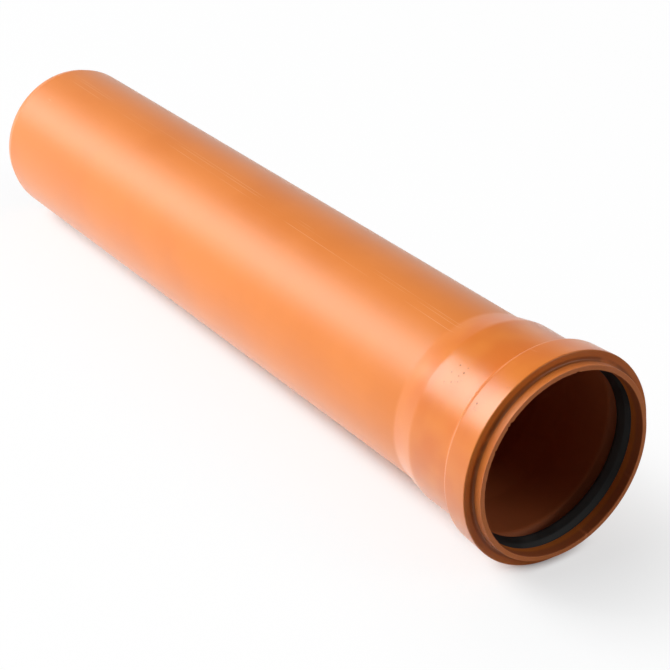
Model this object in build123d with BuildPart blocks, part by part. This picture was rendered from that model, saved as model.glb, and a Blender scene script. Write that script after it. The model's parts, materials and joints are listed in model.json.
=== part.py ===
"""Push-fit drain pipe: a plain barrel with a formed socket, and the rubber lip ring in its groove.

Sections are drawn as (distance, radius): the distance runs along the pipe's axis from the plain end to the
mouth of the socket. The pipe lies as it would on a level floor, on its plain end and on the ring bead.
"""

import os
from math import asin, atan2, cos, hypot, radians, sin, tan

from build123d import *

# Driving dimensions in millimetres and degrees

# Barrel
pipe_diameter = 110.0
wall = 3.2
laying_length = 500.0
chamfer_angle = 15.0
chamfer_depth = 1.7

# Socket
socket_clearance = 0.4
socket_straight = 63.0
shoulder_length = 19.0
shoulder_blend = 14.0

# Neck and ring bead
neck_length = 6.4
neck_fillet = 1.2
mouth_chamfer = 0.6
bead_length = 18.4
bead_height = 5.0
bead_rise = 1.1
bead_front_round = 0.8
bead_rear_round = 2.5
flare_length = 4.7
flare_fillet = 3.0

# Lip ring
seal_clearance = 0.2
seal_width = 12.0
seal_depth = 3.2
seal_step = 1.4
seal_chamfer = 0.6
lip_grip = 2.0
lip_reach = 7.5
lip_thickness = 2.2
lip_land = 1.5

# Radii of the pipe
pipe_radius = pipe_diameter / 2
end_radius = pipe_radius - chamfer_depth
socket_bore = pipe_radius + socket_clearance
socket_radius = socket_bore + wall
bead_rear_radius = socket_radius + bead_height
bead_front_radius = bead_rear_radius + bead_rise

# Distances from the plain end: a pipe pushed home stops where its chamfered edge meets the shoulder
chamfer_length = chamfer_depth / tan(radians(chamfer_angle))
shoulder_angle = atan2(socket_radius - pipe_radius, shoulder_length)
shoulder_shift = wall * tan(shoulder_angle / 2)
stop_depth = socket_straight + shoulder_shift + (socket_bore - end_radius) / tan(shoulder_angle)
overall_length = laying_length + stop_depth
bead_front = overall_length - neck_length
bead_rear = bead_front - bead_length
shoulder_top = overall_length - socket_straight

# Outside of the formed wall, from the chamfer of the plain end to the mouth
chamfer_edge = Vector(chamfer_length, pipe_radius)
mouth_edge = Vector(overall_length, socket_radius)
formed_corners = [
    Vector(shoulder_top - shoulder_length, pipe_radius),
    Vector(shoulder_top, socket_radius),
    Vector(bead_rear - flare_length, socket_radius),
    Vector(bead_rear, bead_rear_radius),
    Vector(bead_front, bead_front_radius),
    Vector(bead_front, socket_radius),
]
formed_rounds = [shoulder_blend, shoulder_blend, flare_fillet, bead_rear_round, bead_front_round, neck_fillet]
inside_rounds = [shoulder_blend, shoulder_blend, flare_fillet, 0, 0, 0]


def under_corners(depth):
    """Points at one depth under both sides of each formed corner."""
    run = [chamfer_edge, *formed_corners, mouth_edge]
    inward = [(after - before).normalized().rotate(Axis.Z, -90) for before, after in zip(run, run[1:])]
    turns = zip(formed_corners, inward, inward[1:])
    return [corner + (a + b) * (depth / (1 + a.dot(b))) for corner, a, b in turns]


# Resting pose: the floor touches the edge of the chamfer and the lower of the bead's two rounded corners
def floor_slope(rounding, corner):
    """Angle of the line from the chamfer's edge that touches one rounded corner from outside."""
    reach = under_corners(rounding)[formed_corners.index(corner)] - chamfer_edge
    return atan2(reach.Y, reach.X) + asin(rounding / hypot(reach.X, reach.Y))


*_, rear_corner, front_corner, _ = formed_corners
tilt = max(floor_slope(bead_rear_round, rear_corner), floor_slope(bead_front_round, front_corner))

# The origin lies on the floor, in the middle of the pipe's length
end_reach = end_radius * sin(tilt)
mouth_reach = overall_length * cos(tilt) + (socket_radius - mouth_chamfer) * sin(tilt)
end_height = pipe_radius * cos(tilt) - chamfer_length * sin(tilt)
end_centre = Vector((end_reach - mouth_reach) / 2, 0, end_height)
pipe_direction = Vector(cos(tilt), 0, sin(tilt))
pipe_axis = Axis(end_centre, pipe_direction)
section_plane = Plane(origin=end_centre, x_dir=pipe_direction, z_dir=(0, -1, 0))

os.makedirs("parts", exist_ok=True)

# Pipe: one wall, drawn along the outside to the mouth and back along the inside
inside_corners = under_corners(wall)
pipe_corners = [
    ((0, end_radius), 0),
    (chamfer_edge, 0),
    *zip(formed_corners, formed_rounds),
    ((overall_length - mouth_chamfer, socket_radius), 0),
    ((overall_length, socket_radius - mouth_chamfer), 0),
    ((overall_length, socket_bore + mouth_chamfer), 0),
    ((overall_length - mouth_chamfer, socket_bore), 0),
    *reversed(list(zip(inside_corners, inside_rounds))),
    ((0, pipe_radius - wall), 0),
]

with BuildPart() as pipe:
    with BuildSketch(section_plane):
        with BuildLine():
            points, rounds = zip(*pipe_corners)
            FilletPolyline(*points, radius=rounds, close=True)
        make_face()
    revolve(axis=pipe_axis)

# Lip ring: a body on the groove's floor, and a lip that slopes from the body's nose back into the pipe
*_, groove_rear, groove_front, _ = inside_corners
groove_slope = (groove_front.Y - groove_rear.Y) / (groove_front.X - groove_rear.X)
seal_front = groove_front.X - seal_clearance
seal_rear = seal_front - seal_width
seal_front_radius = groove_front.Y - seal_clearance
seal_rear_radius = seal_front_radius - seal_width * groove_slope
seal_bore = seal_rear_radius - seal_depth
seal_nose = socket_bore + seal_step
lip_radius = pipe_radius - lip_grip
lip_angle = atan2(seal_nose - lip_radius, lip_reach)
lip_tip = seal_front - lip_reach
lip_back = lip_tip - lip_thickness * sin(lip_angle)
lip_back_radius = lip_radius + lip_thickness * cos(lip_angle)
lip_root = lip_back + (seal_bore - lip_back_radius) / tan(lip_angle)

with BuildPart() as seal_ring:
    with BuildSketch(section_plane):
        with BuildLine():
            Polyline(
                (seal_rear, seal_rear_radius - seal_chamfer),
                (seal_rear + seal_chamfer, seal_rear_radius),
                (seal_front - seal_chamfer, seal_front_radius),
                (seal_front, seal_front_radius - seal_chamfer),
                (seal_front, seal_nose + seal_chamfer),
                (seal_front - seal_chamfer, seal_nose),
                (lip_tip, lip_radius),
                (lip_tip - lip_land, lip_radius),
                (lip_back, lip_back_radius),
                (lip_root, seal_bore),
                (seal_rear + seal_chamfer, seal_bore),
                (seal_rear, seal_bore + seal_chamfer),
                close=True,
            )
        make_face()
    revolve(axis=pipe_axis)

pipe.part.label = "pipe"
export_step(pipe.part, "parts/pipe.step")
seal_ring.part.label = "seal_ring"
export_step(seal_ring.part, "parts/seal_ring.step")
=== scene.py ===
"""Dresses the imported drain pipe: a turned wall of satin orange-brown plastic and its black rubber lip ring.

The pieces are turned in the pipe's own frame, in metres: the origin is the middle of the mouth, +X points out
of the mouth along the axis, and "along" is the distance from the mouth into the pipe. Angles go round the
axis from 0 on top, positive towards +Y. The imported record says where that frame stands, and how wide and
long the pipe is.
"""

import json
import logging
from abc import ABC, abstractmethod
from collections.abc import Callable, Mapping, Sequence
from dataclasses import dataclass, replace
from enum import Enum
from functools import reduce
from math import atan2, ceil, cos, hypot, pi, radians, sin, tan

import bpy
import numpy as np
from mathutils import Matrix, Vector

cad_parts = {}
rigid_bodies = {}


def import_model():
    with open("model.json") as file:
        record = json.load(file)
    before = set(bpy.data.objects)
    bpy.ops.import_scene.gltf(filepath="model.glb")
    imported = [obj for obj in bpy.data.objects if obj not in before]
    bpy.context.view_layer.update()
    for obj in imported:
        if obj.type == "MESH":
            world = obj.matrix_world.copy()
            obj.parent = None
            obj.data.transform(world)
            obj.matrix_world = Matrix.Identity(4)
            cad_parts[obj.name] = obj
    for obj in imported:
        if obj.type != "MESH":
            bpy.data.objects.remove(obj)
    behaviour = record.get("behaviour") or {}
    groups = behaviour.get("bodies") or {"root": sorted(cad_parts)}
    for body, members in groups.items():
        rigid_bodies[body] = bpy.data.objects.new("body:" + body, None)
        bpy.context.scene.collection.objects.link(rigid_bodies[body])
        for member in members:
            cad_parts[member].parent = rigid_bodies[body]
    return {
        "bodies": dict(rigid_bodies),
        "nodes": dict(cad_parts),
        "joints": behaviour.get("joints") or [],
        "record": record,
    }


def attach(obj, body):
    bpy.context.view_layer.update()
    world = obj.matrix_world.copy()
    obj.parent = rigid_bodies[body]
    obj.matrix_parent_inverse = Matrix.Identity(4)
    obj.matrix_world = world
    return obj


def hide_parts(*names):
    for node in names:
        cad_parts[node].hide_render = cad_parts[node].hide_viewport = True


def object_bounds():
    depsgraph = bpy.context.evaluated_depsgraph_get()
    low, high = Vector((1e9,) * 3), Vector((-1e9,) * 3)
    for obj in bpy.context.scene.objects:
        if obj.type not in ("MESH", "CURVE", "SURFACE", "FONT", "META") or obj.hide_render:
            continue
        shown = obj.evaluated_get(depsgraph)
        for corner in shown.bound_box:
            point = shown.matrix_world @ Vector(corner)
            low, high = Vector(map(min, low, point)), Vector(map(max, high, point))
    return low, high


log = logging.getLogger("drain_pipe")

Colour = tuple[float, float, float]
Triple = tuple[float, float, float]
Point = tuple[float, float]
Span = tuple[float, float]
Worn = tuple[np.ndarray, np.ndarray]
Relief = Callable[[np.ndarray, np.ndarray, np.ndarray], Worn]

BODY = "root"
MM = 0.001


class Face(Enum):
    """Faces of the wall that are left differently by the tools; the value is the material's place."""

    OUTSIDE = 0
    INSIDE = 1
    CUT = 2


class Ray(Enum):
    """Kinds of rays that a shader tells apart."""

    CAMERA = "Is Camera Ray"
    REFLECTED = "Is Glossy Ray"
    THROUGH = "Is Transmission Ray"


class Wire:
    """An output of a shader node that takes part in Python expressions."""

    def __init__(self, bench: "Bench", node: bpy.types.Node, output: str | int) -> None:
        """Keeps the bench that makes the next nodes, the node, and the name or place of its output."""
        self.bench = bench
        self.node = node
        self.output = output

    @property
    def socket(self) -> bpy.types.NodeSocket:
        """The output itself."""
        return self.node.outputs[self.output]

    def sibling(self, output: str | int) -> "Wire":
        """Another output of the same node."""
        return Wire(self.bench, self.node, output)

    def __add__(self, other: "Value") -> "Wire":
        """Sum of two values."""
        return self.bench.math("ADD", self, other)

    def __radd__(self, other: "Value") -> "Wire":
        """Sum of two values."""
        return self.bench.math("ADD", other, self)

    def __sub__(self, other: "Value") -> "Wire":
        """Difference of two values."""
        return self.bench.math("SUBTRACT", self, other)

    def __rsub__(self, other: "Value") -> "Wire":
        """Difference of two values."""
        return self.bench.math("SUBTRACT", other, self)

    def __mul__(self, other: "Value") -> "Wire":
        """Product of two values."""
        return self.bench.math("MULTIPLY", self, other)

    def __rmul__(self, other: "Value") -> "Wire":
        """Product of two values."""
        return self.bench.math("MULTIPLY", other, self)

    def larger(self, other: "Value") -> "Wire":
        """Larger of two values."""
        return self.bench.math("MAXIMUM", self, other)

    def magnitude(self) -> "Wire":
        """The value without its sign."""
        return self.bench.math("ABSOLUTE", self)

    def near(self, middle: "Value", reach: float) -> "Wire":
        """Mask that is 1 where the value meets middle, and 0 past reach on both sides."""
        return (self - middle).magnitude().rise(reach, 0.0)

    def rise(self, low: float, high: float) -> "Wire":
        """Mask that goes smoothly from 0 to 1.

        Args:
            low: the value where the mask is 0.
            high: the value where it is 1, which may be the smaller one.

        Returns:
            The mask.
        """
        if low > high:
            return 1.0 - self.rise(high, low)
        sockets = {"Value": self, "From Min": low, "From Max": high}
        return self.bench.node("ShaderNodeMapRange", {"interpolation_type": "SMOOTHSTEP"}, sockets)


Value = float | Wire


class Bench:
    """Adds nodes to one node tree."""

    def __init__(self, tree: bpy.types.NodeTree) -> None:
        """Empties the tree."""
        self.tree = tree
        tree.nodes.clear()

    def node(
        self,
        kind: str,
        settings: Mapping[str, object] | None = None,
        sockets: Mapping[str | int, object] | None = None,
        output: str | int = 0,
    ) -> Wire:
        """Adds one node.

        Args:
            kind: the node's type.
            settings: its properties, which are set first.
            sockets: values or wires for its inputs, by name or place.
            output: the output to hand on, by name or place.

        Returns:
            That output as a wire.
        """
        made = self.tree.nodes.new(kind)
        for name, value in (settings or {}).items():
            setattr(made, name, value)
        for key, value in (sockets or {}).items():
            if isinstance(value, Wire):
                self.tree.links.new(value.socket, made.inputs[key])
            else:
                made.inputs[key].default_value = value
        return Wire(self, made, output)

    def math(self, operation: str, *values: Value) -> Wire:
        """Adds a Math node on one or two values."""
        return self.node("ShaderNodeMath", {"operation": operation}, dict(enumerate(values)))

    def vector(self, operation: str, *values: object) -> Wire:
        """Adds a Vector Math node that gives a vector."""
        return self.node("ShaderNodeVectorMath", {"operation": operation}, dict(enumerate(values)))

    def split(self, vector: Wire) -> list[Wire]:
        """The x, y and z of a vector."""
        parts = self.node("ShaderNodeSeparateXYZ", None, {0: vector})
        return [parts.sibling(axis) for axis in "XYZ"]

    def mix(self, factor: Value, under: object, over: object) -> Wire:
        """Lays one colour over another.

        Args:
            factor: share of the upper colour.
            under: colour or wire below.
            over: colour or wire above.

        Returns:
            The mixed colour.
        """
        sockets = {0: factor, 6: opaque(under), 7: opaque(over)}
        return self.node("ShaderNodeMix", {"data_type": "RGBA"}, sockets, 2)

    def blend(self, factor: Value, under: Wire, over: Wire) -> Wire:
        """Lays a share of one shader over another."""
        return self.node("ShaderNodeMixShader", None, {0: factor, 1: under, 2: over})

    def rays(self, kind: Ray) -> Wire:
        """1 for rays of one kind and 0 for the others."""
        return self.node("ShaderNodeLightPath", output=kind.value)


def opaque(colour: object) -> object:
    """A colour with its alpha added; a wire stays as it is."""
    return colour if isinstance(colour, Wire) else (*colour, 1.0)


def largest(masks: Sequence[Wire]) -> Wire:
    """Largest of some masks."""
    return reduce(Wire.larger, masks)


@dataclass(frozen=True)
class Grain:
    """A noise pattern, about 0.5 on average.

    Attributes:
        pitch: how many of its features lie along a metre.
        detail, roughness: number and weight of its finer layers.
        squeeze: factors on x, y and z before the pattern is laid; a small one draws it out that way.
        span: values between which it is turned into a mask.
    """

    pitch: float
    detail: float = 2.0
    roughness: float = 0.5
    squeeze: Triple | None = None
    span: Span | None = None

    def on(self, point: Wire) -> Wire:
        """Adds the pattern.

        Args:
            point: the place where the pattern is read.

        Returns:
            The pattern, or its mask, at that place.
        """
        bench = point.bench
        if self.squeeze:
            point = bench.vector("MULTIPLY", point, self.squeeze)
        sockets = {"Vector": point, "Scale": self.pitch, "Detail": self.detail, "Roughness": self.roughness}
        pattern = bench.node("ShaderNodeTexNoise", None, sockets)
        return pattern.rise(*self.span) if self.span else pattern


@dataclass(frozen=True)
class PipePlace:
    """Where a shader's point lies on the pipe.

    Attributes:
        point: the point in the pipe's own frame.
        along: distance from the mouth.
        radius: distance from the axis.
        angle: angle round the axis in radians.
    """

    point: Wire
    along: Wire
    radius: Wire
    angle: Wire

    @classmethod
    def on(cls, bench: Bench, frame: Matrix) -> "PipePlace":
        """Adds the nodes that find the place.

        Args:
            bench: the material's bench.
            frame: where the pipe's own frame stands.

        Returns:
            The place.
        """
        row = bench.node("ShaderNodeTexCoord", output="Object")
        stand = {"Vector": row, "Location": frame.translation, "Rotation": frame.to_euler()}
        point = bench.node("ShaderNodeMapping", {"vector_type": "TEXTURE"}, stand)
        out, side, up = bench.split(point)
        radius = bench.math("SQRT", side * side + up * up)
        return cls(point, 0.0 - out, radius, bench.math("ARCTAN2", side, up))

    def flat(self, first: Wire, second: Wire) -> Wire:
        """A flat point that a pattern can be read at."""
        return self.point.bench.node("ShaderNodeCombineXYZ", None, {0: first, 1: second})


@dataclass(frozen=True)
class Corner:
    """A corner of a turned section.

    Attributes:
        along: distance from the mouth.
        radius: distance from the axis.
        rounding: radius that eases the corner.
        face: the face that runs on from this corner.
    """

    along: float
    radius: float
    rounding: float
    face: Face = Face.OUTSIDE


@dataclass(frozen=True)
class Section:
    """A closed section with eased corners, turned about the pipe's axis.

    Attributes:
        corners: its corners in order.
        arc_step: largest turn from one point of an arc to the next.
        guard: how far from an arc the flat stretch beside it gets a point of its own.
        longest_run: longest step along a flat stretch.
    """

    corners: Sequence[Corner]
    arc_step: float = radians(13)
    guard: float = 0.4 * MM
    longest_run: float = 12 * MM

    def eased(self, before: Corner, corner: Corner, after: Corner) -> list[Point]:
        """Points that go round one corner.

        Args:
            before: the corner before it.
            corner: the corner itself.
            after: the corner after it.

        Returns:
            Points of (along, radius) on the arc.
        """
        inward = atan2(corner.radius - before.radius, corner.along - before.along)
        onward = atan2(after.radius - corner.radius, after.along - corner.along)
        turn = (onward - inward + pi) % (2 * pi) - pi
        side = pi / 2 if turn > 0 else -pi / 2
        reach = corner.rounding * tan(abs(turn) / 2)
        centre_along = corner.along - reach * cos(inward) + corner.rounding * cos(inward + side)
        centre_radius = corner.radius - reach * sin(inward) + corner.rounding * sin(inward + side)
        steps = max(2, ceil(abs(turn) / self.arc_step))
        headings = [inward - side + turn * step / steps for step in range(steps + 1)]
        return [
            (centre_along + corner.rounding * cos(heading), centre_radius + corner.rounding * sin(heading))
            for heading in headings
        ]

    def run(self, start: Point, end: Point) -> list[Point]:
        """Points inside one flat stretch, guarded at both ends.

        Args:
            start: the point before the stretch.
            end: the point after it.

        Returns:
            The points between, none on a short stretch.
        """
        length = hypot(end[0] - start[0], end[1] - start[1])
        if length < 4 * self.guard:
            return []
        steps = max(1, ceil((length - 2 * self.guard) / self.longest_run))
        shares = np.linspace(self.guard / length, 1 - self.guard / length, steps + 1)
        return [tuple(np.array(start) * (1 - share) + np.array(end) * share) for share in shares]

    def outline(self) -> tuple[np.ndarray, list[Face]]:
        """The section as points.

        Returns:
            Rows of (along, radius), and the face that runs on from each.
        """
        corners = list(self.corners)
        neighbours = zip(corners[-1:] + corners[:-1], corners, corners[1:] + corners[:1])
        arcs = [self.eased(*three) for three in neighbours]
        points, faces = [], []
        for corner, arc, following in zip(corners, arcs, arcs[1:] + arcs[:1]):
            stretch = arc + self.run(arc[-1], following[0])
            points.extend(stretch)
            faces.extend([corner.face] * len(stretch))
        return np.array(points), faces

    def turned(self, name: str, angles: np.ndarray, relief: Relief, frame: Matrix) -> bpy.types.Object:
        """Turns the section into a closed mesh.

        Args:
            name: the piece's name.
            angles: rising angles of the steps round the axis.
            relief: gives the worn (along, radius) of points at (along, radius, angle).
            frame: where the pipe's own frame stands.

        Returns:
            The new object.
        """
        outline, faces = self.outline()
        angles = angles[:, None]
        along, radius = relief(*np.broadcast_arrays(*outline.T[:, None, :], angles))
        points = np.stack([-along, radius * np.sin(angles), radius * np.cos(angles)], axis=-1)
        here = np.arange(along.size).reshape(along.shape)
        onward = np.roll(here, -1, axis=1)
        beside, beyond = np.roll(here, -1, axis=0), np.roll(onward, -1, axis=0)
        quads = np.stack([here, onward, beyond, beside], axis=-1)
        mesh = bpy.data.meshes.new(name)
        mesh.from_pydata(points.reshape(-1, 3).tolist(), [], quads.reshape(-1, 4).tolist())
        places = np.tile([face.value for face in faces], len(angles))
        mesh.polygons.foreach_set("material_index", places)
        mesh.shade_smooth()
        mesh.transform(frame)
        return placed(name, mesh)


def inset(corners: Sequence[Point], ends: tuple[Point, Point], depth: float) -> list[Point]:
    """Corners of a line that runs at one depth inside another.

    Args:
        corners: corners of the outer line, which runs towards the mouth.
        ends: the points before the first corner and after the last one.
        depth: distance between the lines.

    Returns:
        One corner for each outer one.
    """
    run = np.array([ends[0], *corners, ends[1]])
    steps = np.diff(run, axis=0)
    steps /= np.linalg.norm(steps, axis=1)[:, None]
    inward = np.stack([-steps[:, 1], steps[:, 0]], axis=1)
    before, after = inward[:-1], inward[1:]
    reach = depth / (1 + np.sum(before * after, axis=1))
    return [tuple(point) for point in np.array(corners) + (before + after) * reach[:, None]]


def placed(name: str, data: bpy.types.ID, place: Triple = (0.0, 0.0, 0.0)) -> bpy.types.Object:
    """Stands a mesh, lamp or camera in the scene.

    Args:
        name: the new object's name.
        data: what it shows.
        place: where it stands.

    Returns:
        The new object.
    """
    thing = bpy.data.objects.new(name, data)
    thing.location = place
    bpy.context.scene.collection.objects.link(thing)
    return thing


def turn_to(thing: bpy.types.Object, direction: Vector) -> None:
    """Turns a lamp or camera to look in a direction."""
    thing.rotation_mode = "QUATERNION"
    thing.rotation_quaternion = direction.to_track_quat("-Z", "Y")


def even_angles(turns: int) -> np.ndarray:
    """Angles that share the full turn evenly."""
    return np.linspace(0, 2 * pi, turns, endpoint=False)


@dataclass(frozen=True)
class Wave:
    """A long wave over the wall.

    Attributes:
        pitch: its turn in radians for each metre along the pipe.
        lobes: how many crests it has round the axis.
        phase: where it starts.
    """

    pitch: float
    lobes: int
    phase: float


WAVES = (Wave(210.0, 2, 0.4), Wave(95.0, 3, 1.9), Wave(330.0, 5, 4.1), Wave(150.0, 1, 2.6))


def unevenness(along: np.ndarray, angle: np.ndarray) -> np.ndarray:
    """The long waves together, between about -1 and 1.

    Args:
        along: distances from the mouth.
        angle: angles round the axis.

    Returns:
        Their mean at each place.
    """
    heights = [np.sin(wave.pitch * along + wave.lobes * angle + wave.phase) for wave in WAVES]
    return sum(heights) / len(heights)


@dataclass(frozen=True)
class Nick:
    """A small dent in the edge of the mouth.

    Attributes:
        angle: angle round the axis.
        width: its width to either side along the edge.
        depth: how deep it goes along the axis.
        close_up: how many widths to either side get closer steps.
        steps: how many of those steps there are.
    """

    angle: float
    width: float
    depth: float
    close_up: float = 2.0
    steps: int = 11

    def angles(self, radius: float) -> np.ndarray:
        """Closer steps round the axis that show the dent in an edge of this radius."""
        return self.angle + self.width / radius * np.linspace(-self.close_up, self.close_up, self.steps)

    def dent(self, angle: np.ndarray, radius: float) -> np.ndarray:
        """Depth of the dent at some angles of an edge of this radius."""
        aside = np.abs((angle - self.angle + pi) % (2 * pi) - pi) * radius
        return self.depth * np.clip(1.0 - aside / self.width, 0.0, 1.0)


@dataclass(frozen=True)
class Mark:
    """A spot on the outside where handling left its traces.

    Attributes:
        along: its distance from the mouth.
        angle: its angle round the axis.
        reach: how far it spreads.
    """

    along: float
    angle: float
    reach: float

    def mask(self, place: PipePlace) -> Wire:
        """Mask that is 1 in the middle of the spot and 0 past its reach."""
        aside = (place.angle - self.angle) * place.radius
        return place.along.near(self.along, self.reach) * aside.near(0.0, self.reach)


@dataclass(frozen=True)
class Skin:
    """What changes over a finished surface.

    Attributes:
        colour: base colour.
        roughness: roughness.
        height: height of the fine relief in millimetres.
    """

    colour: Wire
    roughness: Wire
    height: Wire


@dataclass(frozen=True)
class Layer:
    """A pattern that runs through a whole finish.

    Attributes:
        grain: the pattern.
        share: its share in the colour.
        rough: its share in the roughness.
        height: its height in millimetres.
        scored: whether it runs round the axis.
    """

    grain: Grain
    share: float = 0.0
    rough: float = 0.0
    height: float = 0.0
    scored: bool = False

    def on(self, place: PipePlace) -> Wire:
        """The pattern at a place on the pipe."""
        return self.grain.on(place.flat(place.radius, place.angle) if self.scored else place.point)


@dataclass(frozen=True, kw_only=True)
class Trace(ABC):
    """A mark that making or handling leaves on a finish.

    Attributes:
        colour: its colour.
        cover: share of that colour.
        rough: roughness that it adds.
        height: height that it adds in millimetres.
    """

    colour: Colour = (0.0, 0.0, 0.0)
    cover: float = 0.0
    rough: float = 0.0
    height: float = 0.0

    @abstractmethod
    def mask(self, place: PipePlace) -> Wire:
        """1 where the mark is and 0 elsewhere."""

    def over(self, skin: Skin, place: PipePlace) -> Skin:
        """Lays the mark over a skin.

        Args:
            skin: the skin without it.
            place: where the shader's point lies.

        Returns:
            The skin with it.
        """
        mask = self.mask(place)
        colour = mask.bench.mix(self.cover * mask, skin.colour, self.colour) if self.cover else skin.colour
        return Skin(colour, skin.roughness + self.rough * mask, skin.height + self.height * mask)


@dataclass(frozen=True, kw_only=True)
class Stretch(Trace):
    """A stretch of the pipe next to the mouth, all of it or patches in it.

    Attributes:
        start: distances from the mouth between which it begins.
        patches: pattern of the patches.
    """

    start: Span
    patches: Grain | None = None

    def mask(self, place: PipePlace) -> Wire:
        """1 in the stretch or its patches and 0 elsewhere."""
        stretch = place.along.rise(*self.start)
        return stretch * self.patches.on(place.point) if self.patches else stretch


@dataclass(frozen=True, kw_only=True)
class DieLines(Trace):
    """The few fine raised lines that the die leaves along the barrel.

    Attributes:
        start: distances from the mouth between which they begin.
        angles: their angles at the mouth, if they went on to it.
        twist: their turn for each metre along the pipe.
        width: half of a line's width, as an angle.
        breaks: pattern by which they come and go.
    """

    start: Span
    angles: Sequence[float] = (radians(-15.5), radians(-13.2), radians(-20.5))
    twist: float = radians(22.4)
    width: float = radians(0.3)
    breaks: Grain = Grain(18.0, squeeze=(1.0, 6.0, 6.0), span=(0.4, 0.6))

    def mask(self, place: PipePlace) -> Wire:
        """1 on the lines and 0 elsewhere.

        Args:
            place: where the shader's point lies.

        Returns:
            The mask.
        """
        turned = place.angle - place.along * self.twist
        lines = largest([turned.near(angle, self.width) for angle in self.angles])
        return lines * self.breaks.on(place.point) * place.along.rise(*self.start)


@dataclass(frozen=True, kw_only=True)
class Scuffs(Trace):
    """Fine lengthwise scuffs.

    Attributes:
        marks: the spots where they are.
        draw, lean: how much their hairs are drawn out along the pipe, and lean for each metre.
        hairs, breaks: pattern of the hairs, and how they come and go.
    """

    marks: Sequence[Mark] = (
        Mark(26.0 * MM, radians(-10.0), 10.0 * MM),
        Mark(544.0 * MM, radians(-32.0), 6.0 * MM),
        Mark(380.0 * MM, radians(95.0), 30.0 * MM),
        Mark(120.0 * MM, radians(170.0), 40.0 * MM),
    )
    draw: float = 0.06
    lean: float = 0.08
    hairs: Grain = Grain(700.0, detail=1.0, span=(0.52, 0.66))
    breaks: Grain = Grain(140.0, span=(0.42, 0.62))

    def mask(self, place: PipePlace) -> Wire:
        """1 on the hairs and 0 elsewhere.

        Args:
            place: where the shader's point lies.

        Returns:
            The mask.
        """
        leaning = place.angle * place.radius + place.along * self.lean
        hairs = self.hairs.on(place.flat(place.along * self.draw, leaning)) * self.breaks.on(place.point)
        return hairs * largest([mark.mask(place) for mark in self.marks])


@dataclass(frozen=True, kw_only=True)
class Specks(Trace):
    """Small dark specks.

    Attributes:
        marks: the spots where they gather.
        pitch: how many could lie along a metre.
        size: shares of a speck's room between which it begins.
        chance: share of the possible ones that are there.
    """

    marks: Sequence[Mark] = (
        Mark(48.0 * MM, radians(-40.0), 10.0 * MM),
        Mark(19.5 * MM, radians(-47.5), 6.0 * MM),
        Mark(9.5 * MM, radians(-32.0), 4.0 * MM),
        Mark(300.0 * MM, radians(120.0), 25.0 * MM),
    )
    pitch: float = 520.0
    size: Span = (0.45, 0.10)
    chance: float = 0.6

    def mask(self, place: PipePlace) -> Wire:
        """1 on the specks and 0 elsewhere.

        Args:
            place: where the shader's point lies.

        Returns:
            The mask.
        """
        bench = place.point.bench
        cells = {"Vector": place.point, "Scale": self.pitch}
        distance = bench.node("ShaderNodeTexVoronoi", None, cells, "Distance")
        lot = bench.node("ShaderNodeSeparateColor", None, {0: distance.sibling("Color")}, "Red")
        spots = largest([mark.mask(place) for mark in self.marks])
        chosen = bench.math("LESS_THAN", lot, self.chance * spots)
        return distance.rise(*self.size) * lot.sibling("Green") * chosen


@dataclass(frozen=True, kw_only=True)
class CreaseShade(Trace):
    """Painted shade: darker colour where the neck meets the bead's front.

    Attributes:
        neck_length, neck_radius: length and outside of the neck.
        along, out: how far the painted shade reaches along the pipe, and outwards.
        fade: closeness to the corner between which it begins.
        shade_breaks: its pattern.
    """

    neck_length: float
    neck_radius: float
    along: float = 2.2 * MM
    out: float = 3.4 * MM
    fade: Span = (0.0, 0.5)
    shade_breaks: Grain = Grain(90.0, detail=3.0, span=(0.1, 0.55))

    def mask(self, place: PipePlace) -> Wire:
        """1 on the painted shade and 0 elsewhere."""
        foot = place.along.near(self.neck_length, self.along) * place.radius.near(self.neck_radius, self.out)
        return foot.rise(*self.fade) * self.shade_breaks.on(place.point)


@dataclass(frozen=True, kw_only=True)
class PaintedLightBand(Trace):
    """Painted light: the band in front of the ring is painted paler, where more light falls.

    Attributes:
        start, end: distances from the mouth between which it begins and ends.
        ragged, depth: pattern of its edges, and how far that moves them.
    """

    start: Span = (4.5 * MM, 7.5 * MM)
    end: Span = (11.0 * MM, 10.0 * MM)
    ragged: Grain = Grain(160.0)
    depth: float = 0.8 * MM

    def mask(self, place: PipePlace) -> Wire:
        """1 in the band and 0 elsewhere."""
        edge = place.along + self.depth * self.ragged.on(place.point)
        return edge.rise(*self.start) * edge.rise(*self.end)


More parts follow.
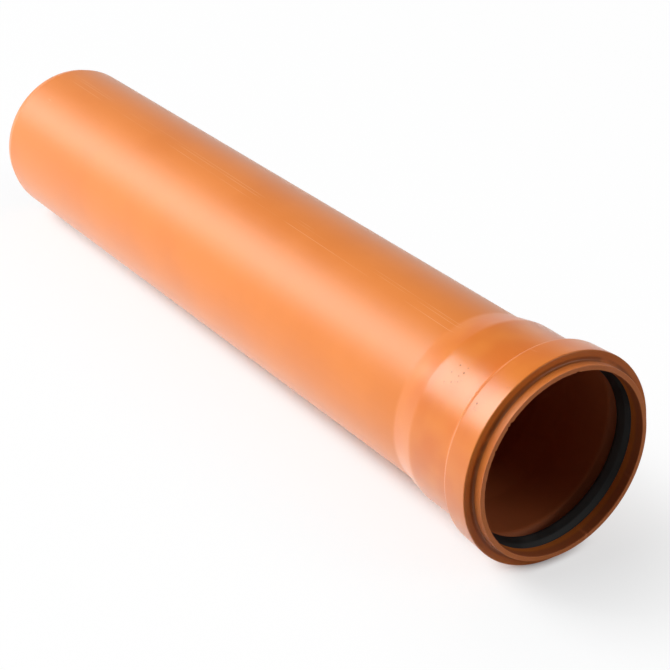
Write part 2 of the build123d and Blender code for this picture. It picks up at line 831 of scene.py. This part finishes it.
@dataclass(frozen=True, kw_only=True)
class Finish:
    """A finish: two colours, patterns that run through it, and marks on it.

    Attributes:
        under: the colour where the patterns are low.
        over: the colour where they are high.
        roughness: its mean roughness.
        layers: the patterns.
        traces: the marks, in the order in which they were left.
        gloss: level of the reflections, 0.5 for clean plastic.
        ior: index of refraction.
        sheen: haze at grazing angles.
        sheen_roughness: how wide that haze spreads.
    """

    under: Colour
    over: Colour
    roughness: float
    layers: Sequence[Layer]
    traces: Sequence[Trace] = ()
    gloss: float = 0.5
    ior: float = 1.5
    sheen: float = 0.0
    sheen_roughness: float = 0.4

    def skin(self, place: PipePlace) -> Skin:
        """What changes over the surface.

        Args:
            place: where the shader's point lies.

        Returns:
            The skin there.
        """
        laid = [(layer, layer.on(place)) for layer in self.layers]
        share = sum(layer.share * pattern for layer, pattern in laid if layer.share)
        rough = self.roughness + sum(layer.rough * (pattern - 0.5) for layer, pattern in laid if layer.rough)
        height = sum(layer.height * pattern for layer, pattern in laid if layer.height)
        skin = Skin(place.point.bench.mix(share, self.under, self.over), rough, height)
        for trace in self.traces:
            skin = trace.over(skin, place)
        return skin

    def material(self, name: str, frame: Matrix) -> bpy.types.Material:
        """Makes the finish as a material.

        Args:
            name: the material's name.
            frame: where the pipe's own frame stands.

        Returns:
            The material.
        """
        made = bpy.data.materials.new(name)
        made.use_nodes = True
        bench = Bench(made.node_tree)
        skin = self.skin(PipePlace.on(bench, frame))
        bump = bench.node("ShaderNodeBump", None, {"Strength": 1.0, "Distance": MM, "Height": skin.height})
        sockets = {
            "Base Color": skin.colour,
            "Roughness": skin.roughness,
            "IOR": self.ior,
            "Specular IOR Level": self.gloss,
            "Normal": bump,
            "Sheen Weight": self.sheen,
            "Sheen Roughness": self.sheen_roughness,
        }
        shader = bench.node("ShaderNodeBsdfPrincipled", None, sockets)
        bench.node("ShaderNodeOutputMaterial", None, {"Surface": shader})
        return made


# Colours of the plastic, of marks on it, and of painted shade
DEEP: Colour = (0.73, 0.200, 0.024)
LIGHT: Colour = (0.79, 0.230, 0.034)
DRAWN: Colour = (0.70, 0.165, 0.018)
SAWN: Colour = (0.87, 0.26, 0.11)
# SHADED: painted shade, a darker copy of the plastic for the inside
SHADED: Colour = (0.46, 0.120, 0.045)
RUBBED: Colour = (0.90, 0.45, 0.22)
# GRIME_AND_SHADE: dark specks of grime, and the painted shade in the crease at the neck
GRIME_AND_SHADE: Colour = (0.12, 0.035, 0.012)

# Fine lines along the pipe, fine unevenness, patches of the drawn socket and scores of the saw
STREAKS = Grain(400.0, roughness=0.6, squeeze=(0.02, 1.0, 1.0))
PEEL = Grain(200.0, detail=1.0)
BLOTCHES = Grain(50.0, detail=1.0, span=(0.28, 0.72))
SCORES = Grain(2600.0, squeeze=(1.0, 0.02, 1.0))

# The barrel's own patterns, before the socket is formed
BARREL_LAYERS = (
    Layer(Grain(16.0, detail=3.0, span=(0.3, 0.7)), share=0.7, rough=0.03),
    Layer(STREAKS, share=0.3, height=0.004),
    Layer(PEEL, height=0.004),
)

# The inside: painted shade, a darker copy of the plastic's colour, with a band of painted light in front of
# the ring
INSIDE = Finish(
    under=SHADED,
    over=DEEP,
    roughness=0.58,
    layers=(
        Layer(Grain(24.0, detail=3.0), share=0.2, rough=0.12, height=0.010),
        Layer(STREAKS, share=0.1, height=0.006),
    ),
    # painted light: a paler band in front of the ring
    traces=(PaintedLightBand(colour=LIGHT, cover=0.7),),
    gloss=0.2,
)

# A sawn end: paler, and scored round the axis
SAWN_END = Finish(
    under=LIGHT,
    over=SAWN,
    roughness=0.575,
    layers=(
        Layer(replace(SCORES, span=(0.40, 0.70)), share=0.5, scored=True),
        Layer(SCORES, rough=0.15, height=0.04, scored=True),
        Layer(Grain(120.0, detail=3.0), share=0.7, height=0.03),
    ),
)

# Moulded black rubber with a faint grey bloom
RUBBER = Finish(
    under=(0.013, 0.0135, 0.013),
    over=(0.036, 0.037, 0.035),
    roughness=0.49,
    layers=(
        Layer(Grain(60.0, detail=3.0, span=(0.35, 0.75)), share=0.6, rough=0.14),
        Layer(Grain(900.0), height=0.008),
    ),
)


@dataclass(frozen=True)
class FormedPipe:
    """The plastic wall: a plain barrel, and a formed socket with its ring bead and neck.

    Attributes:
        frame: where the pipe's own frame stands.
        pipe_radius: outside of the barrel.
        bore_radius: inside of the barrel.
        socket_bore: inside of the socket.
        length: from the mouth to the plain end.
        chamfer_angle, chamfer_depth: slope and depth of the plain end's chamfer.
        socket_straight: from the mouth to the shoulder.
        shoulder_length, shoulder_blend: the shoulder, and the rounding of both its ends.
        neck_length, neck_fillet: the neck in front of the ring bead, and the rounding between them.
        bead_length, bead_height, bead_rise: the ring bead, its height, and how much higher its front is.
        bead_front_round, bead_rear_round: rounding of the bead's edges.
        flare_length, flare_fillet: the slope behind the bead, and the rounding of its foot.
        edge_round, groove_round: rounding of the wall's ends, and inside the ring groove.
        barrel_wave, socket_wave: height of the waves that forming leaves.
        wave_fade: where the socket's waves end, as a share of its length.
        burr_depth, burrs, burr_seed: depth, number and seed of the burrs round the edge of the mouth.
        nicks: dents in the same edge.
        dent_share, dent_reach: how far both go through the wall, as a share of it, and into the pipe.
        dent_lean: how far they lean outwards, as a share of their depth.
        socket_fade, neck_fade: shares of their lengths between which the finish of both begins.
        turns: even steps round the axis.
    """

    frame: Matrix
    pipe_radius: float
    bore_radius: float
    socket_bore: float
    length: float
    chamfer_angle: float = radians(15)
    chamfer_depth: float = 1.7 * MM
    socket_straight: float = 63.0 * MM
    shoulder_length: float = 19.0 * MM
    shoulder_blend: float = 14.0 * MM
    neck_length: float = 6.4 * MM
    neck_fillet: float = 1.2 * MM
    bead_length: float = 18.4 * MM
    bead_height: float = 5.0 * MM
    bead_rise: float = 1.1 * MM
    bead_front_round: float = 0.8 * MM
    bead_rear_round: float = 2.5 * MM
    flare_length: float = 4.7 * MM
    flare_fillet: float = 3.0 * MM
    edge_round: float = 0.35 * MM
    groove_round: float = 0.6 * MM
    barrel_wave: float = 0.02 * MM
    socket_wave: float = 0.06 * MM
    wave_fade: float = 1.6
    burr_depth: float = 0.16 * MM
    burrs: int = 300
    burr_seed: int = 7
    nicks: Sequence[Nick] = (
        Nick(radians(-45.0), 1.4 * MM, 0.7 * MM),
        Nick(radians(-47.6), 1.0 * MM, 0.5 * MM),
        Nick(radians(-62.5), 0.9 * MM, 0.3 * MM),
        Nick(radians(5.0), 1.5 * MM, 0.5 * MM),
        Nick(radians(118.0), 1.2 * MM, 0.5 * MM),
        Nick(radians(160.0), 1.6 * MM, 0.6 * MM),
    )
    dent_share: float = 0.3
    dent_reach: float = 0.8 * MM
    dent_lean: float = 0.7
    socket_fade: Span = (1.05, 0.85)
    neck_fade: Span = (1.1, 0.8)
    turns: int = 360

    @property
    def wall(self) -> float:
        """Thickness of the wall."""
        return self.pipe_radius - self.bore_radius

    @property
    def socket_radius(self) -> float:
        """Outside of the socket."""
        return self.socket_bore + self.wall

    @property
    def socket_length(self) -> float:
        """From the mouth to the end of the shoulder."""
        return self.socket_straight + self.shoulder_length

    def formed_corners(self) -> list[tuple[Point, float]]:
        """Corners of the outside from the shoulder to the neck.

        Returns:
            Each corner's place and its rounding.
        """
        bead_rear = self.neck_length + self.bead_length
        bead_radius = self.socket_radius + self.bead_height
        return [
            ((self.socket_length, self.pipe_radius), self.shoulder_blend),
            ((self.socket_straight, self.socket_radius), self.shoulder_blend),
            ((bead_rear + self.flare_length, self.socket_radius), self.flare_fillet),
            ((bead_rear, bead_radius), self.bead_rear_round),
            ((self.neck_length, bead_radius + self.bead_rise), self.bead_front_round),
            ((self.neck_length, self.socket_radius), self.neck_fillet),
        ]

    def inside_corners(self) -> list[Point]:
        """Corners of the inside, one under each formed corner of the outside."""
        outside = [point for point, _ in self.formed_corners()]
        return inset(outside, ((self.length, self.pipe_radius), (0.0, self.socket_radius)), self.wall)

    def section(self) -> Section:
        """The wall's section.

        Returns:
            The section, along the outside to the mouth and back along the inside.
        """
        chamfer_length = self.chamfer_depth / tan(self.chamfer_angle)
        rounds = [self.shoulder_blend, self.shoulder_blend, self.flare_fillet, *[self.groove_round] * 3]
        inside = zip(self.inside_corners(), rounds)
        inside = [Corner(*point, rounding, Face.INSIDE) for point, rounding in inside]
        return Section(
            [
                Corner(self.length, self.pipe_radius - self.chamfer_depth, self.edge_round),
                Corner(self.length - chamfer_length, self.pipe_radius, self.edge_round),
                *(Corner(*point, rounding) for point, rounding in self.formed_corners()),
                Corner(0.0, self.socket_radius, self.edge_round, Face.CUT),
                Corner(0.0, self.socket_bore, self.edge_round, Face.INSIDE),
                *reversed(inside),
                Corner(self.length, self.bore_radius, self.edge_round, Face.CUT),
            ]
        )

    def worn(self, along: np.ndarray, radius: np.ndarray, angle: np.ndarray) -> Worn:
        """Slight waves that forming leaves in the wall, and burrs and nicks in the inner edge of the mouth.

        Args:
            along: distances from the mouth.
            radius: distances from the axis.
            angle: angles round the axis.

        Returns:
            The worn distances from the mouth and from the axis.
        """
        socket = np.clip(self.wave_fade - along / self.socket_length, 0.0, 1.0)
        wave = self.barrel_wave + (self.socket_wave - self.barrel_wave) * socket
        radius = radius + wave * unevenness(along, angle)
        across = (radius - self.socket_bore) / (self.dent_share * self.wall)
        edge = np.exp(-(across**2 + (along / self.dent_reach) ** 2))
        depths = self.burr_depth * np.random.default_rng(self.burr_seed).random(self.burrs)
        dents = np.interp(angle, even_angles(self.burrs), depths)
        for nick in self.nicks:
            dents = dents + nick.dent(angle, self.socket_bore)
        return along + dents * edge, radius + self.dent_lean * dents * edge

    def build(self) -> bpy.types.Object:
        """Turns the wall.

        Returns:
            The new object.
        """
        close_ups = [nick.angles(self.socket_bore) for nick in self.nicks]
        angles = np.unique(np.concatenate([even_angles(self.turns), *close_ups]) % (2 * pi))
        return self.section().turned("pipe_wall", angles, self.worn, self.frame)

    def outside_finish(self) -> Finish:
        """The outside: smooth along the barrel, blotched and mottled where the socket was drawn out.

        Returns:
            The finish.
        """
        none, full = (share * self.socket_length for share in self.socket_fade)
        neck = tuple(share * self.neck_length for share in self.neck_fade)
        traces = (
            Stretch(start=(none, full), rough=-0.15),
            Stretch(start=(none, full), patches=PEEL, height=0.020),
            Stretch(start=(none, full), patches=BLOTCHES, colour=DRAWN, cover=0.8, rough=0.02),
            Stretch(start=neck, rough=0.22),
            DieLines(start=(full, none), colour=RUBBED, cover=0.6, height=0.02),
            Scuffs(colour=RUBBED, cover=0.6, rough=0.10),
            Specks(colour=GRIME_AND_SHADE, cover=0.75, rough=0.25, height=-0.12),
            # painted shade in the crease where the neck meets the bead
            CreaseShade(neck_length=self.neck_length, neck_radius=self.socket_radius, colour=GRIME_AND_SHADE, cover=0.5),
        )
        return Finish(under=DEEP, over=LIGHT, roughness=0.45, layers=BARREL_LAYERS, traces=traces, sheen=0.22)

    def dress(self, piece: bpy.types.Object) -> None:
        """Gives each face of the wall its finish.

        Args:
            piece: the turned wall.
        """
        finishes = {Face.OUTSIDE: self.outside_finish(), Face.INSIDE: INSIDE, Face.CUT: SAWN_END}
        for face in Face:
            name = f"plastic_{face.name.lower()}"
            piece.data.materials.append(finishes[face].material(name, self.frame))


@dataclass(frozen=True)
class LipRing:
    """The rubber ring in the socket's groove, with a lip that slopes back into the pipe.

    Attributes:
        pipe: the wall that holds it.
        lip_radius: free radius of the lip.
        clearance: room between the ring and its groove.
        width, depth: its body along the pipe, and outwards at the rear.
        step: how far its nose stands back from the socket's bore.
        lip_reach, lip_thickness, lip_land: the lip from the nose to its tip, and the flat there.
        bulge, bulge_round: how far the lip bulges inwards, and how round.
        nose_round, land_round, back_round, edge_round: rounding of nose, flat, lip's rear and other edges.
        wave, wave_depth: height of the lip's waves, and how far inside the bore they are full.
        guard, longest_run: the section's own.
        turns: even steps round the axis.
        finish: its finish.
    """

    pipe: FormedPipe
    lip_radius: float
    clearance: float = 0.2 * MM
    width: float = 12.0 * MM
    depth: float = 3.2 * MM
    step: float = 1.4 * MM
    lip_reach: float = 7.5 * MM
    lip_thickness: float = 2.2 * MM
    lip_land: float = 1.5 * MM
    bulge: float = 0.5 * MM
    bulge_round: float = 3.6 * MM
    nose_round: float = 0.9 * MM
    land_round: float = 0.3 * MM
    back_round: float = 0.24 * MM
    edge_round: float = 0.6 * MM
    wave: float = 0.12 * MM
    wave_depth: float = 2.4 * MM
    guard: float = 0.2 * MM
    longest_run: float = 3 * MM
    turns: int = 300
    finish: Finish = RUBBER

    def section(self) -> Section:
        """The ring's section.

        Returns:
            The section, round the body and the lip.
        """
        *_, groove_rear, groove_front, _ = self.pipe.inside_corners()
        slope = (groove_front[1] - groove_rear[1]) / (groove_rear[0] - groove_front[0])
        front = groove_front[0] + self.clearance
        rear = front + self.width
        front_radius = groove_front[1] - self.clearance
        rear_radius = front_radius - self.width * slope
        bore = rear_radius - self.depth
        nose = self.pipe.socket_bore + self.step
        lip_angle = atan2(nose - self.lip_radius, self.lip_reach)
        tip = front + self.lip_reach
        back = tip + self.lip_thickness * sin(lip_angle)
        back_radius = self.lip_radius + self.lip_thickness * cos(lip_angle)
        root = back - (bore - back_radius) / tan(lip_angle)
        bulge = (front + tip) / 2 - self.bulge * sin(lip_angle)
        bulge_radius = (nose + self.lip_radius) / 2 - self.bulge * cos(lip_angle)
        return Section(
            [
                Corner(rear, rear_radius, self.edge_round),
                Corner(front, front_radius, self.edge_round),
                Corner(front, nose, self.nose_round),
                Corner(bulge, bulge_radius, self.bulge_round),
                Corner(tip, self.lip_radius, self.edge_round),
                Corner(tip + self.lip_land, self.lip_radius, self.land_round),
                Corner(back, back_radius, self.back_round),
                Corner(root, bore, self.edge_round),
                Corner(rear, bore, self.edge_round),
            ],
            guard=self.guard,
            longest_run=self.longest_run,
        )

    def eased(self, along: np.ndarray, radius: np.ndarray, angle: np.ndarray) -> Worn:
        """A soft ring's slight waves, none of them at its seat.

        Args:
            along: distances from the mouth.
            radius: distances from the axis.
            angle: angles round the axis.

        Returns:
            The eased distances from the mouth and from the axis.
        """
        free = np.clip((self.pipe.socket_bore - radius) / self.wave_depth, 0.0, 1.0)
        return along, radius + self.wave * free * unevenness(along, angle)

    def build(self) -> bpy.types.Object:
        """Turns the ring."""
        return self.section().turned("lip_ring", even_angles(self.turns), self.eased, self.pipe.frame)

    def dress(self, piece: bpy.types.Object) -> None:
        """Gives the ring its finish."""
        piece.data.materials.append(self.finish.material("moulded_rubber", self.pipe.frame))


@dataclass(frozen=True)
class Lamp:
    """A large soft lamp.

    Attributes:
        name: what it is for.
        place: its middle.
        aim: where it points.
        size: its sides.
        power: its power in watts.
    """

    name: str
    place: Triple
    aim: Triple
    size: Point
    power: float

    def hang(self) -> None:
        """Hangs the lamp out of the camera's sight."""
        lamp = bpy.data.lights.new(self.name, "AREA")
        lamp.shape = "RECTANGLE"
        lamp.size, lamp.size_y = self.size
        lamp.energy = self.power
        hung = placed(self.name, lamp, self.place)
        turn_to(hung, Vector(self.aim) - Vector(self.place))
        hung.visible_camera = False


@dataclass(frozen=True)
class Floor:
    """The pale floor under the pipe, which partly glows white by itself as painted light, away from the
    pipe's shade; near the pipe less glow is painted, by place and by ambient occlusion, which paints that
    shadow's shape.

    Attributes:
        half_length: half of the pipe's length.
        side: side of the floor.
        white: how much light it gives back.
        dull, dull_span: painted shade: how much it gives back in front of the mouth, to all but the camera,
            and where; less light falls back onto the mouth.
        glow: share that glows white by itself as painted light, beside the pipe and away from it.
        glow_reach: distances from the pipe's line between which that share grows.
        contact_reach, contact_open: how near and how closely ambient occlusion holds the glow back under the
            mouth, which paints a contact shadow there.
        contact_span: where along the pipe that painted shadow is left behind.
        under_reach: distances from the pipe's line between which the painted shadow under its raised part
            weakens.
        under_past, under_front: where that painted shadow ends past the pipe's ends, and under the bead.
        under_rear, under_weak: where the pipe lies low and that painted shadow weakens, and by how much.
        reflected_glow: brightness of a painted reflection: the floor beside the barrel glows, seen only in
            reflections.
        reflected_glow_side, reflected_glow_span: where that begins beside the pipe and along it.
    """

    half_length: float
    side: float = 30.0
    white: Colour = (0.91, 0.93, 0.94)
    dull: Colour = (0.30, 0.30, 0.30)
    dull_span: Span = (0.20, 0.36)
    glow: Span = (0.66, 0.96)
    glow_reach: Span = (0.02, 0.15)
    contact_reach: float = 16.0 * MM
    contact_open: Span = (0.0, 0.5)
    contact_span: Span = (0.20, 0.10)
    under_reach: Span = (12.0 * MM, 36.0 * MM)
    under_past: Span = (0.0, 15.0 * MM)
    under_front: Span = (0.25, 0.28)
    under_rear: Span = (0.05, -0.20)
    under_weak: float = 0.6
    reflected_glow: float = 1.5
    reflected_glow_side: Span = (0.0, -0.08)
    reflected_glow_span: Span = (0.30, 0.15)

    def unshaded(self, length: Wire, aside: Wire, past: Wire) -> Wire:
        """Where the floor keeps its painted glow; where the glow is held back, the pipe's shadow is painted.

        Args:
            length: place along the pipe, from its middle towards the mouth.
            aside: place beside the pipe's line.
            past: distance past the pipe's ends.

        Returns:
            The mask, 0 in the full painted shadow.
        """
        nearby = {"Distance": self.contact_reach}
        contact = length.bench.node("ShaderNodeAmbientOcclusion", None, nearby, "AO")
        contact = contact.rise(*self.contact_open).larger(length.rise(*self.contact_span))
        ends = past.rise(*self.under_past).larger(length.rise(*self.under_front))
        ends = ends.larger(self.under_weak * length.rise(*self.under_rear))
        return contact * aside.magnitude().rise(*self.under_reach).larger(ends)

    def paint(self) -> bpy.types.Material:
        """Makes the floor's material.

        Returns:
            The material.
        """
        made = bpy.data.materials.new("pale_floor")
        made.use_nodes = True
        bench = Bench(made.node_tree)
        length, aside, _ = bench.split(bench.node("ShaderNodeTexCoord", output="Object"))
        past = (length.magnitude() - self.half_length).larger(0.0)
        away = bench.math("SQRT", past * past + aside * aside).rise(*self.glow_reach)
        camera = bench.rays(Ray.CAMERA)
        pale = bench.node("ShaderNodeBsdfDiffuse", None, {"Color": opaque(self.white)})
        # painted shade: in front of the mouth the floor is dull to all rays but the camera's, so less light
        # bounces onto the mouth
        dull = bench.node("ShaderNodeBsdfDiffuse", None, {"Color": opaque(self.dull)})
        shown = bench.blend(length.rise(*self.dull_span) * (1.0 - camera), pale, dull)
        beside, far = self.glow
        glow = bench.node("ShaderNodeEmission", None, {"Strength": 1.0})
        # the glow is painted light; less of it near the pipe paints the pipe's shadow
        share = (beside + (far - beside) * away) * camera * self.unshaded(length, aside, past)
        shown = bench.blend(share, shown, glow)
        # painted reflection: beside the barrel the floor glows, seen only in reflections
        reflected_glow = bench.node("ShaderNodeEmission", None, {"Strength": self.reflected_glow})
        reflected_glow_zone = aside.rise(*self.reflected_glow_side) * length.rise(*self.reflected_glow_span)
        shown = bench.blend(bench.rays(Ray.REFLECTED) * reflected_glow_zone, shown, reflected_glow)
        bench.node("ShaderNodeOutputMaterial", None, {"Surface": shown})
        return made

    def lay(self) -> bpy.types.Object:
        """Lays the floor under the pipe.

        Returns:
            The new object.
        """
        half = self.side / 2
        corners = [(-half, -half, 0.0), (half, -half, 0.0), (half, half, 0.0), (-half, half, 0.0)]
        mesh = bpy.data.meshes.new("floor")
        mesh.from_pydata(corners, [], [(0, 1, 2, 3)])
        mesh.materials.append(self.paint())
        return placed("floor", mesh)


@dataclass(frozen=True, kw_only=True)
class Patch:
    """A part of the room, by where it lies; each span goes from none to full.

    Attributes:
        level: brightness of its light.
        ahead: how far it lies towards +X, where the mouth points, from -1 to 1.
        aside: how far it lies towards +Y.
        up: how far it lies towards +Z.
    """

    level: float = 1.0
    ahead: Span | None = None
    aside: Span | None = None
    up: Span | None = None

    def mask(self, direction: Sequence[Wire]) -> Wire:
        """1 where a direction of x, y and z meets the patch and 0 elsewhere."""
        spans = zip(direction, (self.ahead, self.aside, self.up))
        return reduce(Wire.__mul__, [part.rise(*span) for part, span in spans if span])


@dataclass(frozen=True)
class Room:
    """The dim room that lights the pipe, and the paler one that is seen and reflected.

    Attributes:
        lights: parts that light the pipe.
        wall: what is seen low behind the plain end.
        dark, dark_parts: what is seen above and ahead.
        grey, grey_part: what is seen high up ahead, a painted reflection that gives the ring a sheen.
    """

    lights: Sequence[Patch] = (
        Patch(level=0.12, ahead=(0.5, -0.2)),
        Patch(level=0.09, up=(0.25, 0.7)),
        Patch(level=0.25, ahead=(0.1, 0.6), aside=(-0.1, 0.4), up=(0.9, 0.5)),
    )
    wall: Colour = (1.0, 1.0, 1.0)
    dark: Colour = (0.1, 0.1, 0.1)
    dark_parts: Sequence[Patch] = (Patch(up=(0.05, 0.5)), Patch(ahead=(0.0, 0.4)))
    grey: Colour = (0.4, 0.4, 0.4)
    grey_part: Patch = Patch(ahead=(0.1, 0.3), up=(0.4, 0.6))

    def paint(self) -> None:
        """Makes the room the scene's world."""
        world = bpy.data.worlds.new("room")
        world.use_nodes = True
        bpy.context.scene.world = world
        bench = Bench(world.node_tree)
        direction = bench.split(bench.node("ShaderNodeTexCoord", output="Generated"))
        seen = bench.mix(largest([part.mask(direction) for part in self.dark_parts]), self.wall, self.dark)
        # painted reflection: a grey patch high up ahead, seen only by the camera and in reflections
        seen = bench.mix(self.grey_part.mask(direction), seen, self.grey)
        level = sum(part.level * part.mask(direction) for part in self.lights)
        dim = bench.mix(level, (0.0, 0.0, 0.0), (1.0, 1.0, 1.0))
        colour = bench.mix(largest([bench.rays(kind) for kind in Ray]), dim, seen)
        shown = bench.node("ShaderNodeBackground", None, {"Color": colour})
        bench.node("ShaderNodeOutputWorld", None, {"Surface": shown})


@dataclass(frozen=True)
class Viewpoint:
    """Where the picture is taken from.

    Attributes:
        azimuth: where the camera stands round the pipe, 0 looking along +Y.
        elevation: its angle above the floor.
        aim, distance: the point in the middle of the picture, and how far it is.
        lens, sensor: focal length and width of the sensor in millimetres.
    """

    azimuth: float = radians(55.517)
    elevation: float = radians(29.058)
    aim: Triple = (0.0977, -0.0208, 0.0646)
    distance: float = 1.1194
    lens: float = 99.057
    sensor: float = 36.0

    def stand(self) -> None:
        """Stands the camera there."""
        level = cos(self.elevation)
        forward = Vector((-sin(self.azimuth) * level, cos(self.azimuth) * level, -sin(self.elevation)))
        view = bpy.data.cameras.new("camera")
        view.lens = self.lens
        view.sensor_width = self.sensor
        camera = placed("camera", view, Vector(self.aim) - forward * self.distance)
        turn_to(camera, forward)
        bpy.context.scene.camera = camera


# Soft lamps behind the plain end, beside the pipe and in front of it
LAMPS = (
    Lamp("key_lamp", (-5.65, -3.66, 4.45), (0.0, 0.0, 0.06), (3.6, 4.9), 475.0),
    Lamp("top_lamp", (-0.40, -1.30, 1.60), (0.0, 0.0, 0.06), (1.1, 1.0), 24.0),
    Lamp("front_lamp", (1.70, 1.10, 1.00), (0.28, 0.0, 0.06), (0.9, 0.8), 7.0),
)


def pipe_frame(mouth: Mapping[str, object]) -> Matrix:
    """Matrix from the pipe's own frame to the row frame.

    Args:
        mouth: the record's mount at the mouth, whose axis points out.

    Returns:
        The matrix.
    """
    out = Vector(mouth["axis"]).normalized()
    side = Vector((0.0, 0.0, 1.0)).cross(out).normalized()
    columns = Matrix((out, side, out.cross(side))).transposed()
    return Matrix.Translation(mouth["pos_m"]) @ columns.to_4x4()


def main() -> None:
    """Builds and dresses the pipe and its ring, then sets floor, lamps, room and camera."""
    logging.basicConfig(level=logging.INFO, format="%(name)s: %(message)s")
    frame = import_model()
    cad_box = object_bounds()
    mounts = {mount["name"]: mount for mount in frame["record"]["mounts"]}
    radii = {name: mount["dims"].get("r_mm", 0.0) * MM for name, mount in mounts.items()}
    bore = mounts["barrel_bore"]
    bore_reach = (Vector(mounts["socket"]["pos_m"]) - Vector(bore["pos_m"])).length
    pipe = FormedPipe(
        frame=pipe_frame(mounts["socket"]),
        pipe_radius=radii["spigot"],
        bore_radius=radii["barrel_bore"],
        socket_bore=radii["socket"],
        length=bore_reach + bore["dims"]["length_mm"] * MM / 2,
    )
    ring = LipRing(pipe, lip_radius=radii["seal_lip"])
    for part, node, slot in ((pipe, "pipe", "pipe"), (ring, "seal_ring", "seal")):
        piece = part.build()
        part.dress(piece)
        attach(piece, BODY)
        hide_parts(node)
        log.info("%s stands for %s with %d faces", piece.name, node, len(piece.data.polygons))
    Floor(half_length=cad_box[1][0]).lay()
    for lamp in LAMPS:
        lamp.hang()
    Room().paint()
    Viewpoint().stand()
    bpy.context.scene.view_settings.view_transform = "Standard"


if __name__ == "__main__":
    main()
